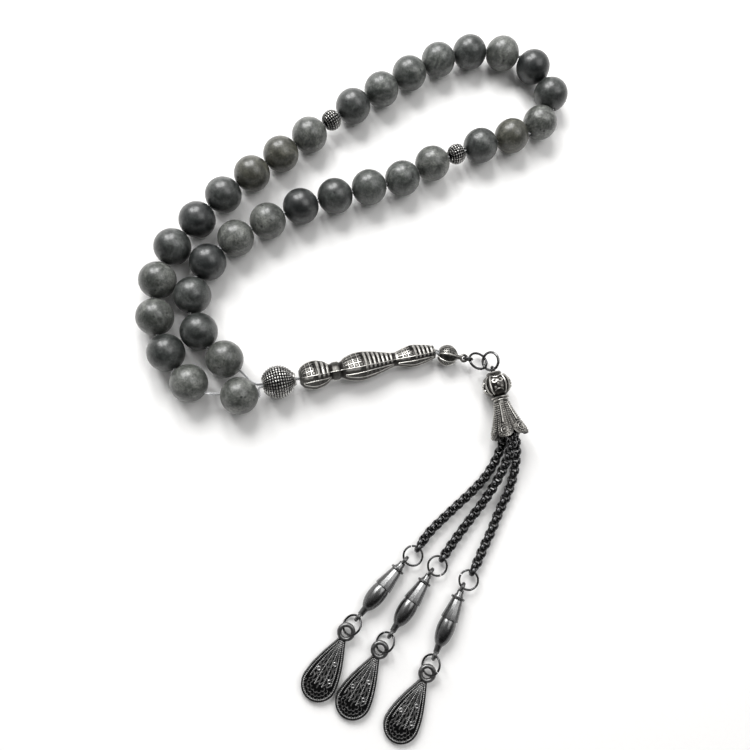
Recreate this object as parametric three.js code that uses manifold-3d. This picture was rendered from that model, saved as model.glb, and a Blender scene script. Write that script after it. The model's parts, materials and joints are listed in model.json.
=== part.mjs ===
// Misbaha prayer beads lying on a table: a loop of stone beads with two divider beads,
// a head shaft between a knurled ball and an end bead, and a tassel of three chains.
// Millimetres, +Z up, the table is z = 0. The loop's far end points to +Y and the tassel to -Y.
// The origin is on the table under the middle of the whole piece.
// Every mesh is one loose part. Its userData.pivot holds the point and axis that it turns about
// or slides along, in the group's frame.
import * as THREE from "three";
import { mergeVertices } from "three/addons/utils/BufferGeometryUtils.js";
import Module from "manifold-3d";

const wasm = await Module();
wasm.setup();

// Stone beads and the two divider beads on the loop
const beadCount = 33;
const beadRadius = 5;
const beadBore = 1;
const beadBands = 6;
const beadSegments = 10;
const beadGap = 0.12;
const dividerAfter = [11, 22];
const dividerRadius = 3;
const dividerHalfLength = 2.75;

// Cord: one length, both ends inside the end bead
const cordRadius = 0.3;
const cordSides = 8;
const strandOffset = 0.36; // the two strands lie side by side in the head
const firstBeadAt = [-34.4, -10.9];

// Middles of the beads from the second to the last, every one or every other one
const loopRoute = [
  [-47.5, -7.5],
  [-53.5, 0.5],
  [-56.7, 10.2],
  [-56.4, 20.3],
  [-52.7, 30],
  [-46.2, 38],
  [-39.2, 45.5],
  [-31.7, 51.8],
  [-16.2, 63.8],
  [-3.5, 73.4],
  [5, 79.2],
  [13.5, 84.9],
  [22.3, 89.8],
  [32, 93],
  [42, 93.3],
  [51.4, 89.6],
  [56.7, 81.2],
  [53.4, 71.7],
  [44.2, 66.6],
  [34.6, 63.1],
  [19.5, 56.7],
  [10.6, 51.8],
  [1, 48.8],
  [-18, 42.6],
  [-27.2, 38],
  [-36, 32.7],
  [-43.4, 25.6],
  [-47.2, 16],
  [-45, 6],
  [-38.1, -1.3],
  [-33, -5],
];

// Head: the ball and the shaft share one straight bore
const ballAt = [-24.3, -7.2, 4.6];
const ballRadius = 4.6;
const ballMouth = 1.5; // where the ball's curve stops at each end of its bore
const ballCollar = { length: 0.35, radius: 1.6 };
const ballBands = 7;
const headEnd = [18.7, 1.6, 2.9]; // middle of the shaft's far end
const shaftLength = 38;
const headBore = 1;
const shaftProfile = [
  [0, 1.9],
  [1.5, 3],
  [4.2, 3.55],
  [7, 2.9],
  [8.6, 2],
  [9.3, 2.35],
  [10.6, 2.35],
  [11.2, 2],
  [13, 2.9],
  [16.5, 3.6],
  [21, 3],
  [26.5, 1.9],
  [28.5, 2.3],
  [31.5, 2.9],
  [35, 2.4],
  [37.2, 1.9],
  [38, 1.9],
];
const endBeadAt = [22.4, 0.6, 2.98];
const endBeadRadius = 2.95;
const endBeadAzimuth = -10;
const endEyeDistance = 4.75; // from the end bead's middle to its eye
const endBeadBands = 6;
const endBeadFlat = 0.15; // how much its ends are flattened
const endStemStart = 1.2;
const cordEndAt = -1.6; // where the cord stops inside the end bead

// Wire rings: radius to the middle of the wire, and the wire's own radius
const endEye = { radius: 0.9, wire: 0.34 };
const endLink = { radius: 1.15, wire: 0.28 };
const headRingA = { radius: 2.6, wire: 0.28 };
const headRingB = { radius: 2.5, wire: 0.28 };
const jumpRing = { radius: 2.55, wire: 0.25 };
const pinTopEye = { radius: 1.2, wire: 0.28 };
const pinLoop = { radius: 1.4, wire: 0.3 };
const chainTopLink = { radius: 0.72, wire: 0.26 };
const chainEndLink = { radius: 0.95, wire: 0.34 };
const bulletEye = { radius: 1.05, wire: 0.33 };
const pendantEye = { radius: 1.82, wire: 0.5 };

// Tassel top: scroll bead and petal cap on one eye pin
const scrollAt = [35.8, -8.1, 4.1];
const tasselAzimuth = -79;
const tasselRise = 3.8;
const pinEyeAt = -4.2; // along the pin from the scroll bead's middle
const pinLoopAt = 7.6;
const pinRadius = 0.4;
const pinBore = 0.6;
const capStart = 4;
const capLength = 10.8;

const linkPlay = 0.05; // room between the end bead's eye and its link
const ringAInLink = { along: 0.45, up: 0.11 }; // where ring A's wire lies in the link

// The two head rings hang in each other and lean on the table
const ringADip = 10;
const ringARoll = -24;
const ringBAzimuth = -71.5;
const ringBRise = 11.7;
const ringBRoll = 46.6;
const ringBFromEye = [0.28, 0.46, 0.33]; // its wire, seen from the middle of the pin's eye

// Three strands, from the cap outwards
const chainRadius = 1.45;
const chainTopAngles = [-58, 0, 58]; // round the pin's loop
const chainSteps = 12;
const chainInCap = 2.2; // how far inside the cap's mouth a chain's round body starts
const chainStem = { radius: 0.35, overlap: 0.4 }; // joins a chain's body to its top link
const ringHeight = 1.85;
const bulletHeight = 2.08;
const bulletLength = 18.6; // eye to eye
const lowerRingRoll = 42;
const lowerRingRise = 0.05; // above the bullet's bottom eye
const pendantSlack = -0.25; // how far the pendant's eye stands off the ring's wire
const pendantAzimuth = 240;
const pendantDip = 3.3;
const pendantEyeHeight = 1.7;
const pendantBack = -0.6;
const pendantThickness = 1.35;
const pendantWidth = 9.2;
const pendantRoundAt = 14.1; // from the eye's middle to the middle of the round end
const strands = [
  {
    chain: [
      [36.9, -22.9, 3.95],
      [36, -26.5, 2.4],
      [33.9, -30.6, 1.6],
      [31, -34.2, 1.6],
      [27.5, -37.5, 1.6],
      [23.6, -40.8, 1.6],
      [19.4, -44.4, 1.6],
      [15.7, -47.8, 1.6],
    ],
    top: [-1.7, -0.98],
    ring: [11.3, -53.5],
    eyeAzimuth: 207,
    bulletAzimuth: 227.7,
    lowerAzimuth: 229,
  },
  {
    chain: [
      [38.6, -22.6, 7.05],
      [37.9, -26.6, 6.1],
      [36.4, -30.8, 4.7],
      [33.9, -35.5, 3.3],
      [31.2, -39.7, 1.8],
      [28.2, -43.3, 1.6],
      [25.4, -46.6, 1.6],
      [22.4, -50.3, 1.6],
    ],
    top: [0, 1.98],
    ring: [17.8, -56.3],
    eyeAzimuth: 219,
    bulletAzimuth: 234,
    lowerAzimuth: 232.8,
  },
  {
    chain: [
      [40.3, -22.3, 3.95],
      [40.9, -26.8, 2.3],
      [40.3, -31.5, 1.6],
      [38.4, -37, 1.6],
      [35.6, -42.2, 1.6],
      [33, -47.6, 1.6],
      [30.5, -52.2, 1.6],
      [28.9, -55.4, 1.6],
    ],
    top: [1.7, -0.98],
    ring: [26.1, -60.2],
    eyeAzimuth: 224,
    bulletAzimuth: 244.4,
    lowerAzimuth: 245,
  },
];

const stone = { color: 0x6f7870, roughness: 0.35, metalness: 0 };
const darkStone = { color: 0x4b524e, roughness: 0.35, metalness: 0 };
const blackenedSilver = { color: 0x6a6864, roughness: 0.35, metalness: 1 };
const gunmetal = { color: 0x3c3c3e, roughness: 0.22, metalness: 1 };
const silverCord = { color: 0x8d9094, roughness: 0.55, metalness: 0.4 };
const darkBeads = [3, 6, 7, 8, 12, 16, 18, 19, 22, 26, 27, 30, 31, 32];

const up = new THREE.Vector3(0, 0, 1);
const group = new THREE.Group();

function point(place) {
  return new THREE.Vector3(...place);
}

// Unit direction at an azimuth counted from +X towards +Y, rising by a slope.
function heading(azimuth, slope = 0) {
  const a = THREE.MathUtils.degToRad(azimuth);
  const s = THREE.MathUtils.degToRad(slope);
  return new THREE.Vector3(Math.cos(s) * Math.cos(a), Math.cos(s) * Math.sin(a), Math.sin(s));
}

function between(a, b) {
  return b.clone().sub(a).normalize();
}

function along(start, direction, distance) {
  return start.clone().addScaledVector(direction, distance);
}

// Turn whose local X runs along direction, and whose local Z is as near up as it can be,
// then rolled about local X.
function turnTo(direction, roll = 0) {
  const side = up.clone().cross(direction).normalize();
  const top = direction.clone().cross(side);
  const basis = new THREE.Matrix4().makeBasis(direction, side, top);
  const lean = new THREE.Quaternion().setFromAxisAngle(
    new THREE.Vector3(1, 0, 0),
    THREE.MathUtils.degToRad(roll),
  );
  return new THREE.Quaternion().setFromRotationMatrix(basis).multiply(lean);
}

function addPart(name, geometry, finish, place, turn, pivot) {
  const mesh = new THREE.Mesh(geometry, new THREE.MeshStandardMaterial(finish));
  mesh.name = name;
  mesh.position.copy(place);
  mesh.quaternion.copy(turn);
  if (pivot) mesh.userData.pivot = pivot;
  group.add(mesh);
  return mesh;
}

// Solid of revolution about local X from a closed outline of [distance along X, radius].
function turned(outline, segments) {
  const points = outline.map(([x, r]) => new THREE.Vector2(r, x));
  points.push(points[0].clone());
  return new THREE.LatheGeometry(points, segments).rotateZ(-Math.PI / 2);
}

// Ball outline with a straight bore; the poles are cut where the bore meets the sphere.
function boredBall(radius, halfLength, bore, bands, segments) {
  const poleAngle = Math.asin(bore / radius);
  const outline = [];
  for (let i = 0; i <= bands; i++) {
    const angle = poleAngle + ((Math.PI - 2 * poleAngle) * i) / bands;
    outline.push([-halfLength * Math.cos(angle), radius * Math.sin(angle)]);
  }
  return turned(outline, segments);
}

// Wire ring in the local XY plane; upright turns it into the local XZ plane.
function wireRing({ radius, wire }, segments, upright = false) {
  const ring = new THREE.TorusGeometry(radius, wire, 6, segments);
  return upright ? ring.rotateX(Math.PI / 2) : ring;
}

function rod(from, to, radius, sides = 8) {
  const length = from.distanceTo(to);
  const geometry = new THREE.CylinderGeometry(radius, radius, length, sides);
  geometry.rotateZ(-Math.PI / 2).applyQuaternion(turnTo(between(from, to)));
  return geometry.translate(...from.clone().add(to).multiplyScalar(0.5).toArray());
}

// Round tube along a curve.
function tube(curve, radius, steps, sides) {
  const section = new THREE.Shape();
  for (let i = 0; i < sides; i++) {
    const angle = (2 * Math.PI * i) / sides;
    section[i ? "lineTo" : "moveTo"](radius * Math.cos(angle), radius * Math.sin(angle));
  }
  section.closePath();
  return new THREE.ExtrudeGeometry(section, { steps, extrudePath: curve });
}

function solidOf(geometry) {
  const bare = new THREE.BufferGeometry();
  const flat = geometry.index ? geometry.toNonIndexed() : geometry;
  bare.setAttribute("position", flat.getAttribute("position"));
  const merged = mergeVertices(bare, 1e-4);
  const solid = new wasm.Manifold(
    new wasm.Mesh({
      numProp: 3,
      vertProperties: merged.attributes.position.array,
      triVerts: new Uint32Array(merged.index.array),
    }),
  );
  return solid;
}

// Several closed geometries joined into one.
function joined(...geometries) {
  const solid = geometries.map(solidOf).reduce((whole, next) => whole.add(next));
  const mesh = solid.getMesh();
  const geometry = new THREE.BufferGeometry();
  geometry.setAttribute("position", new THREE.BufferAttribute(mesh.vertProperties, 3));
  geometry.setIndex(new THREE.BufferAttribute(mesh.triVerts, 1));
  return geometry;
}

// Curve through given points whose steps fall exactly on them.
class Threaded extends THREE.Curve {
  constructor(points) {
    super();
    this.points = points;
  }
  getPoint(t, target = new THREE.Vector3()) {
    const last = this.points.length - 1;
    const i = Math.min(Math.floor(t * last + 1e-9), last - 1);
    return target.lerpVectors(this.points[i], this.points[i + 1], t * last - i);
  }
  getPointAt(t, target) {
    return this.getPoint(t, target);
  }
  getTangentAt(t, target = new THREE.Vector3()) {
    const half = 0.5 / (this.points.length - 1);
    const before = this.getPoint(Math.max(t - half, 0));
    return target.subVectors(this.getPoint(Math.min(t + half, 1)), before).normalize();
  }
}

// ---- the loop: beads set one after the other along the route
const loopPieces = [];
for (let n = 1; n <= beadCount; n++) {
  const name = "bead_" + String(n).padStart(2, "0");
  loopPieces.push({ name, number: n, half: beadRadius });
  if (dividerAfter.includes(n)) {
    const divider = "divider_" + (dividerAfter.indexOf(n) + 1);
    loopPieces.push({ name: divider, divider: true, half: dividerHalfLength });
  }
}

function layOut(pieces, route) {
  const flat = route.map(([x, y]) => new THREE.Vector3(x, y, beadRadius));
  const fine = new THREE.CatmullRomCurve3(flat, false, "centripetal").getPoints(6000);
  let from = 0;
  pieces[0].middle = new THREE.Vector3(...firstBeadAt, beadRadius);
  pieces[1].middle = fine[0];
  for (let i = 2; i < pieces.length; i++) {
    const pitch = pieces[i - 1].half + pieces[i].half + beadGap;
    while (fine[from].distanceTo(pieces[i - 1].middle) < pitch || from === 0) from++;
    pieces[i].middle = fine[from];
  }
}
layOut(loopPieces, loopRoute);

const ballMiddle = point(ballAt);
const headAxis = between(ballMiddle, point(headEnd));
const headSide = up.clone().cross(headAxis).normalize();
const ballHole = along(ballMiddle, headAxis, -ballRadius - 0.3);
const strandAt = (place, side) => along(place, headSide, side * strandOffset);

const lastPiece = loopPieces.length - 1;
loopPieces.forEach((piece, i) => {
  if (i > 0 && i < lastPiece) {
    piece.axis = between(loopPieces[i - 1].middle, loopPieces[i + 1].middle);
    piece.entry = along(piece.middle, piece.axis, -piece.half);
    piece.exit = along(piece.middle, piece.axis, piece.half);
  }
});
const firstPiece = loopPieces[0];
const finalPiece = loopPieces[lastPiece];
firstPiece.axis = between(firstPiece.middle, loopPieces[1].entry);
const strandExit = strandAt(ballHole, 1);
strandExit.z = beadRadius;
finalPiece.axis = between(finalPiece.middle, strandExit);
for (const piece of [firstPiece, finalPiece]) {
  piece.entry = along(piece.middle, piece.axis, -piece.half);
  piece.exit = along(piece.middle, piece.axis, piece.half);
}

const beadShape = boredBall(beadRadius, beadRadius, beadBore, beadBands, beadSegments);
const dividerShape = boredBall(
  dividerRadius,
  dividerHalfLength,
  beadBore,
  beadBands,
  beadSegments,
);
for (const piece of loopPieces) {
  const pivot = { point: piece.middle, axis: piece.axis };
  const finish = darkBeads.includes(piece.number) ? darkStone : stone;
  addPart(
    piece.name,
    piece.divider ? dividerShape : beadShape,
    piece.divider ? blackenedSilver : finish,
    piece.middle,
    turnTo(piece.axis),
    pivot,
  );
}

// ---- head: ball, shaft, end bead
const headTurn = turnTo(headAxis);
const ballOutline = [];
const mouthAngle = Math.asin(ballMouth / ballRadius);
for (let i = 0; i <= ballBands; i++) {
  const angle = mouthAngle + ((Math.PI - 2 * mouthAngle) * i) / ballBands;
  ballOutline.push([-ballRadius * Math.cos(angle), ballRadius * Math.sin(angle)]);
}
const collarEnd = ballRadius + ballCollar.length;
ballOutline.push([collarEnd, ballCollar.radius], [collarEnd, headBore]);
ballOutline.push([-ballRadius * Math.cos(mouthAngle), headBore]);
const headPivot = { point: ballMiddle, axis: headAxis };
addPart("ball", turned(ballOutline, 14), blackenedSilver, ballMiddle, headTurn, headPivot);

const shaftOutline = [...shaftProfile, [shaftLength, headBore], [0, headBore]];
const shaftStart = along(point(headEnd), headAxis, -shaftLength);
addPart("head_shaft", turned(shaftOutline, 12), blackenedSilver, shaftStart, headTurn, headPivot);

const endAxis = heading(endBeadAzimuth);
const endTurn = turnTo(endAxis);
const endStemEnd = endEyeDistance - endEye.radius;
const endBead = joined(
  boredBall(endBeadRadius, endBeadRadius - endBeadFlat, headBore, endBeadBands, 10),
  rod(point([endStemStart, 0, 0]), point([endStemEnd, 0, 0]), headBore + endBeadFlat),
  wireRing(endEye, 12).translate(endEyeDistance, 0, 0),
);
addPart("end_bead", endBead, blackenedSilver, point(endBeadAt), endTurn);

// ---- cord: end bead, shaft, ball, loop, ball, shaft, end bead
function strand(side) {
  const inEndBead = along(point(endBeadAt), endAxis, cordEndAt);
  return [inEndBead, point(headEnd), shaftStart, ballHole].map((place) => strandAt(place, side));
}
const cordPoints = [
  ...strand(-1),
  ...loopPieces.flatMap((piece) => [piece.entry, piece.exit]),
  ...strand(1).reverse(),
];
const cordCurve = new Threaded(cordPoints);
const still = new THREE.Quaternion();
const origin = new THREE.Vector3();
const cordTube = tube(cordCurve, cordRadius, cordPoints.length - 1, cordSides);
addPart("cord", cordTube, silverCord, origin, still);

// ---- rings of the head
const endEyeMiddle = along(point(endBeadAt), endAxis, endEyeDistance);
const linkMiddle = along(endEyeMiddle, endAxis, endLink.radius + linkPlay);
const endSide = up.clone().cross(endAxis);
addPart("end_link", wireRing(endLink, 12, true), gunmetal, linkMiddle, endTurn, {
  point: endEyeMiddle,
  axis: up,
});

const ringANear = along(linkMiddle, endAxis, ringAInLink.along).addScaledVector(up, ringAInLink.up);
const ringAAxis = heading(endBeadAzimuth, -ringADip);
const ringAMiddle = along(ringANear, ringAAxis, headRingA.radius);
const ringATurn = turnTo(ringAAxis, ringARoll);
addPart("head_ring_a", wireRing(headRingA, 16), gunmetal, ringAMiddle, ringATurn, {
  point: linkMiddle,
  axis: endSide,
});

const tasselAxis = heading(tasselAzimuth, tasselRise);
const tasselTurn = turnTo(tasselAxis);
const tasselSide = up.clone().cross(tasselAxis).normalize();
const tasselUp = tasselAxis.clone().cross(tasselSide);
const scrollMiddle = point(scrollAt);
const pinEyeMiddle = along(scrollMiddle, tasselAxis, pinEyeAt);
const ringBAxis = heading(ringBAzimuth, ringBRise);
const ringBHigh = pinEyeMiddle.clone().add(point(ringBFromEye));
const ringBMiddle = along(ringBHigh, ringBAxis, -headRingB.radius);
const ringBTurn = turnTo(ringBAxis, ringBRoll);
addPart("head_ring_b", wireRing(headRingB, 16), gunmetal, ringBMiddle, ringBTurn, {
  point: ringAMiddle,
  axis: new THREE.Vector3(0, 0, 1).applyQuaternion(ringATurn),
});

// ---- tassel top
const pinTop = point([pinEyeAt + pinTopEye.radius, 0, 0]);
const pinFoot = point([pinLoopAt - pinLoop.radius, 0, 0]);
const pin = joined(
  rod(pinTop, pinFoot, pinRadius),
  wireRing(pinTopEye, 12, true).translate(pinEyeAt, 0, 0),
  wireRing(pinLoop, 14).translate(pinLoopAt, 0, 0),
);
addPart("tassel_pin", pin, gunmetal, scrollMiddle, tasselTurn, {
  point: pinEyeMiddle,
  axis: tasselSide,
});

const scrollOutline = [
  [-2.6, pinBore],
  [-2.6, 1.6],
  [-3.5, 1.6],
  [-3.6, 2],
  [-2.7, 3.05],
  [-1, 4],
  [1, 4],
  [2.6, 3.1],
  [3.2, 2.4],
  [3.6, 2.2],
  [3.6, pinBore],
];
const spin = { point: scrollMiddle, axis: tasselAxis };
addPart("scroll_bead", turned(scrollOutline, 12), blackenedSilver, scrollMiddle, tasselTurn, spin);

const capOutline = [
  [capStart, pinBore],
  [capStart, 1.8],
  [capStart + 1, 2.1],
  [capStart + 5.5, 3.3],
  [capStart + capLength, 5],
  [capStart + capLength, 4.6],
  [capStart + 5.5, 2.9],
  [capStart + 1, 1.6],
  [capStart + 1, pinBore],
];
addPart("petal_cap", turned(capOutline, 16), blackenedSilver, scrollMiddle, tasselTurn, spin);

// ---- strands
// Swivel bullet with a flange, a cone, an egg-shaped body and an upright eye at each end.
const bulletOutline = [
  [0.75, 0],
  [0.75, 0.5],
  [2.7, 0.5],
  [2.75, 1.55],
  [3.3, 1.55],
  [3.4, 1.05],
  [8.75, 2.05],
  [8.85, 1.85],
  [10.6, 2.03],
  [13, 1.8],
  [15.2, 1.2],
  [16.5, 0.5],
  [bulletLength - 0.75, 0.42],
  [bulletLength - 0.75, 0],
];
const bullet = joined(
  turned(bulletOutline, 10),
  wireRing(bulletEye, 10, true),
  wireRing(bulletEye, 10, true).translate(bulletLength, 0, 0),
);

// Flat teardrop with a ring eye; local X runs from the eye to the round end.
function pendantGeometry() {
  const bevel = 0.3;
  const r = pendantWidth / 2 - bevel;
  const neck = 1.9;
  const neckHalf = 0.5;
  const outline = new THREE.Shape();
  const tangent = THREE.MathUtils.degToRad(105);
  const tx = pendantRoundAt + r * Math.cos(tangent);
  const ty = r * Math.sin(tangent);
  outline.moveTo(neck, -neckHalf);
  outline.quadraticCurveTo(8.2, -ty + 0.55, tx, -ty);
  outline.absarc(pendantRoundAt, 0, r, -tangent, tangent, false);
  outline.quadraticCurveTo(8.2, ty - 0.55, neck, neckHalf);
  const body = new THREE.ExtrudeGeometry(outline, {
    depth: pendantThickness - 2 * bevel,
    bevelThickness: bevel,
    bevelSize: bevel,
    bevelSegments: 1,
    curveSegments: 7,
  }).translate(0, 0, pendantBack + bevel);
  return joined(body, wireRing(pendantEye, 14));
}
const pendant = pendantGeometry();

const loopMiddle = along(scrollMiddle, tasselAxis, pinLoopAt);
const inTassel = (x, side, height) =>
  along(along(scrollMiddle, tasselAxis, x), tasselSide, side).addScaledVector(tasselUp, height);

strands.forEach((s, i) => {
  const n = i + 1;
  const topAngle = THREE.MathUtils.degToRad(chainTopAngles[i]);
  const reach = pinLoop.radius;
  const hold = inTassel(pinLoopAt + reach * Math.cos(topAngle), reach * Math.sin(topAngle), 0);
  const fan = between(loopMiddle, hold);
  const chainStart = inTassel(capStart + capLength - chainInCap, s.top[0], s.top[1]);
  const ringMiddle = new THREE.Vector3(...s.ring, ringHeight);
  const lastPoint = point(s.chain.at(-1));
  const towards = between(lastPoint, new THREE.Vector3(...s.ring, lastPoint.z));
  const linkAt = along(new THREE.Vector3(...s.ring, lastPoint.z), towards, -jumpRing.radius);
  const chainPath = [chainStart, ...s.chain.map(point), along(linkAt, towards, -chainEndLink.radius)];
  const stemEnd = along(chainStart, between(hold, chainStart), chainStem.overlap);
  const topLink = wireRing(chainTopLink, 10, true).applyQuaternion(turnTo(fan));
  const endLoop = wireRing(chainEndLink, 10, true).applyQuaternion(turnTo(towards));
  const chain = joined(
    tube(new THREE.CatmullRomCurve3(chainPath), chainRadius, chainSteps, 8),
    rod(along(hold, fan, chainTopLink.radius), stemEnd, chainStem.radius, 6),
    topLink.translate(...hold.toArray()),
    endLoop.translate(...linkAt.toArray()),
  );
  addPart("chain_" + n, chain, gunmetal, origin, still, {
    point: hold,
    axis: n === 2 ? tasselSide : tasselUp,
  });

  addPart("upper_ring_" + n, wireRing(jumpRing, 16), gunmetal, ringMiddle, still, {
    point: linkAt,
    axis: up.clone().cross(towards),
  });

  const eyeAt = along(ringMiddle, heading(s.eyeAzimuth), jumpRing.radius);
  eyeAt.z = bulletHeight;
  const bulletAxis = heading(s.bulletAzimuth);
  addPart("bullet_" + n, bullet, gunmetal, eyeAt, turnTo(bulletAxis), { point: ringMiddle, axis: up });

  const bottomEye = along(eyeAt, bulletAxis, bulletLength);
  const lowerAxis = heading(s.lowerAzimuth);
  const lowerMiddle = along(bottomEye, lowerAxis, jumpRing.radius);
  lowerMiddle.z = bulletHeight + lowerRingRise;
  const lowerTurn = turnTo(lowerAxis, lowerRingRoll);
  addPart("lower_ring_" + n, wireRing(jumpRing, 16), gunmetal, lowerMiddle, lowerTurn, {
    point: bottomEye,
    axis: up.clone().cross(bulletAxis),
  });

  const pendantPlace = along(bottomEye, lowerAxis, 2 * jumpRing.radius + pendantSlack);
  pendantPlace.z = pendantEyeHeight;
  const pendantTurn = turnTo(heading(pendantAzimuth, -pendantDip));
  addPart("pendant_" + n, pendant, blackenedSilver, pendantPlace, pendantTurn, {
    point: pendantPlace,
    axis: new THREE.Vector3(0, 0, 1).applyQuaternion(pendantTurn),
  });
});

export default group;
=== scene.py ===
import json
import math
import random

import bpy
import numpy as np
from mathutils import Matrix, Vector


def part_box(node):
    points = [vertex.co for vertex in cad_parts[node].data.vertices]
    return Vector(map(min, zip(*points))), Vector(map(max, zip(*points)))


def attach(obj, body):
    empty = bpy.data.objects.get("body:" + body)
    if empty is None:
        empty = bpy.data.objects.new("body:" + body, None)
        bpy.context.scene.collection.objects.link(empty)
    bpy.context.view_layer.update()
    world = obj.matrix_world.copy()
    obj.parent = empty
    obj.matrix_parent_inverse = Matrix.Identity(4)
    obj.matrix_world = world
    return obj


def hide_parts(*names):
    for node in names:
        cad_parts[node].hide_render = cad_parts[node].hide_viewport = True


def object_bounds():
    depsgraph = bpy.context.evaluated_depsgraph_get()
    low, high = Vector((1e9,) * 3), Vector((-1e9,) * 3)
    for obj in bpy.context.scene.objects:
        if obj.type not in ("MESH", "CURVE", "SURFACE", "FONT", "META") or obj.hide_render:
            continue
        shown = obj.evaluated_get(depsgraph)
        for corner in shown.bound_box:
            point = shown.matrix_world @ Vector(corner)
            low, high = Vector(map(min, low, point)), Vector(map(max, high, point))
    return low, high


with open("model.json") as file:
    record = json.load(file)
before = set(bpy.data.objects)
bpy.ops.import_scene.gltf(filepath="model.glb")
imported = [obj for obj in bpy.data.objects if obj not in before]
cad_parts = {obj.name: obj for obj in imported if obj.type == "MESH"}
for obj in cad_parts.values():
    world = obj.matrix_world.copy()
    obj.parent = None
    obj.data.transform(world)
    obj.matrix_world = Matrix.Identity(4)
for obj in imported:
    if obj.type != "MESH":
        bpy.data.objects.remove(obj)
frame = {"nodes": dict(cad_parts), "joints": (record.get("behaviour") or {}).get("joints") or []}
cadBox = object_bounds()
joints = {j["child"]: j for j in frame["joints"]}
mm = 0.001
up = Vector((0, 0, 1))
random.seed(33)


# Small helpers

def editMode():
    bpy.ops.object.mode_set(mode="EDIT")


def objectMode():
    bpy.ops.object.mode_set(mode="OBJECT")


def nothingSelected():
    if bpy.context.object and bpy.context.object.mode != "OBJECT":
        objectMode()
    bpy.ops.object.select_all(action="DESELECT")


def only(piece):
    nothingSelected()
    piece.select_set(True)
    bpy.context.view_layer.objects.active = piece
    return piece


# A new object that holds a mesh, curve, lamp or camera.
def placed(name, data):
    made = bpy.data.objects.new(name, data)
    bpy.context.scene.collection.objects.link(made)
    return made


def pivotOf(node):
    return Vector(joints[node]["pos_m"])


def axisOf(node):
    return Vector(joints[node]["axis"]).normalized()


def middleOf(node):
    low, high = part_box(node)
    return (low + high) / 2


# Directions in which a CAD node is longest and thinnest.
def spreadOf(node):
    mesh = frame["nodes"][node].data
    spots = np.array([v.co for v in mesh.vertices])
    axes = np.linalg.svd(spots - spots.mean(0), full_matrices=False)[2]
    return Vector(axes[0]).normalized(), Vector(axes[2]).normalized()


def heading(azimuth, rise=0):
    a, r = math.radians(azimuth), math.radians(rise)
    return Vector((math.cos(r) * math.cos(a), math.cos(r) * math.sin(a), math.sin(r)))


def turnX(degrees):
    return Matrix.Rotation(math.radians(degrees), 4, "X")


def alongX(distance):
    return Matrix.Translation((distance * mm, 0, 0))


# A spot at a distance along X and out from it, at an angle from the top.
def aroundX(x, out, degrees):
    a = math.radians(degrees)
    return Vector((x, out * math.sin(a), out * math.cos(a)))


def angleOf(p):
    return math.degrees(math.atan2(p.y, p.z))


def outOf(p):
    return math.hypot(p.y, p.z)


# Place whose X runs along a direction, with Z as near a given top as it can be.
def placeAt(middle, direction, top=up, roll=0):
    side = top.cross(direction).normalized()
    basis = Matrix((direction, side, direction.cross(side))).transposed().to_4x4()
    return Matrix.Translation(middle) @ basis @ turnX(roll)


def smoothLine(points, step):
    points = [Vector(p) for p in points]
    ends = [points[0] * 2 - points[1]] + points + [points[-1] * 2 - points[-2]]
    line = []
    for a, b, c, d in zip(ends, ends[1:], ends[2:], ends[3:]):
        count = max(1, round((c - b).length / step))
        reach = (c - b).length
        leave = (c - a).normalized() * reach
        arrive = (d - b).normalized() * reach
        for i in range(count):
            t = i / count
            line.append(
                b * (2 * t**3 - 3 * t**2 + 1)
                + leave * (t**3 - 2 * t**2 + t)
                + c * (3 * t**2 - 2 * t**3)
                + arrive * (t**3 - t**2)
            )
    return line + [points[-1]]


def lengthOf(line):
    return sum((b - a).length for a, b in zip(line, line[1:]))


def evenly(line, count):
    total, walked, k, found = lengthOf(line), 0.0, 0, []
    for i in range(count):
        target = total * i / (count - 1)
        while k < len(line) - 2 and walked + (line[k + 1] - line[k]).length < target:
            walked += (line[k + 1] - line[k]).length
            k += 1
        piece = (line[k + 1] - line[k]).length or 1
        found.append(line[k].lerp(line[k + 1], min(1, (target - walked) / piece)))
    return found


def cleanMesh():
    bpy.ops.mesh.select_all(action="SELECT")
    bpy.ops.mesh.remove_doubles(threshold=2e-6)
    bpy.ops.mesh.normals_make_consistent(inside=False)
    objectMode()


# Turns an outline of (distance along X, radius) in millimetres about X.
def turned(outline, segments):
    nothingSelected()
    bpy.ops.mesh.primitive_plane_add(size=mm)
    editMode()
    bpy.ops.mesh.select_mode(type="VERT")
    bpy.ops.mesh.merge(type="CENTER")
    spots = [Vector((x, 0, r)) * mm for x, r in outline]
    bpy.ops.transform.translate(value=spots[0])
    for a, b in zip(spots, spots[1:]):
        bpy.ops.mesh.extrude_region_move(TRANSFORM_OT_translate={"value": b - a})
    bpy.ops.mesh.select_all(action="SELECT")
    bpy.ops.mesh.spin(steps=segments, angle=2 * math.pi, center=(0, 0, 0), axis=(1, 0, 0))
    cleanMesh()
    return bpy.context.object


# Round wire ring about Z, with a gap in degrees where its ends meet.
def wireLoop(radius, wire, gap=0, steps=40, sides=10):
    nothingSelected()
    bpy.ops.mesh.primitive_circle_add(
        vertices=sides, radius=wire * mm, location=(radius * mm, 0, 0), rotation=(math.pi / 2, 0, 0)
    )
    bpy.ops.object.transform_apply()
    editMode()
    bpy.ops.mesh.select_all(action="SELECT")
    angle = 2 * math.pi - math.radians(gap)
    bpy.ops.mesh.spin(steps=steps, angle=angle, center=(0, 0, 0), axis=(0, 0, 1))
    if gap:
        bpy.ops.mesh.select_all(action="SELECT")
        bpy.ops.mesh.fill_holes(sides=sides)
    cleanMesh()
    return bpy.context.object


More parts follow.
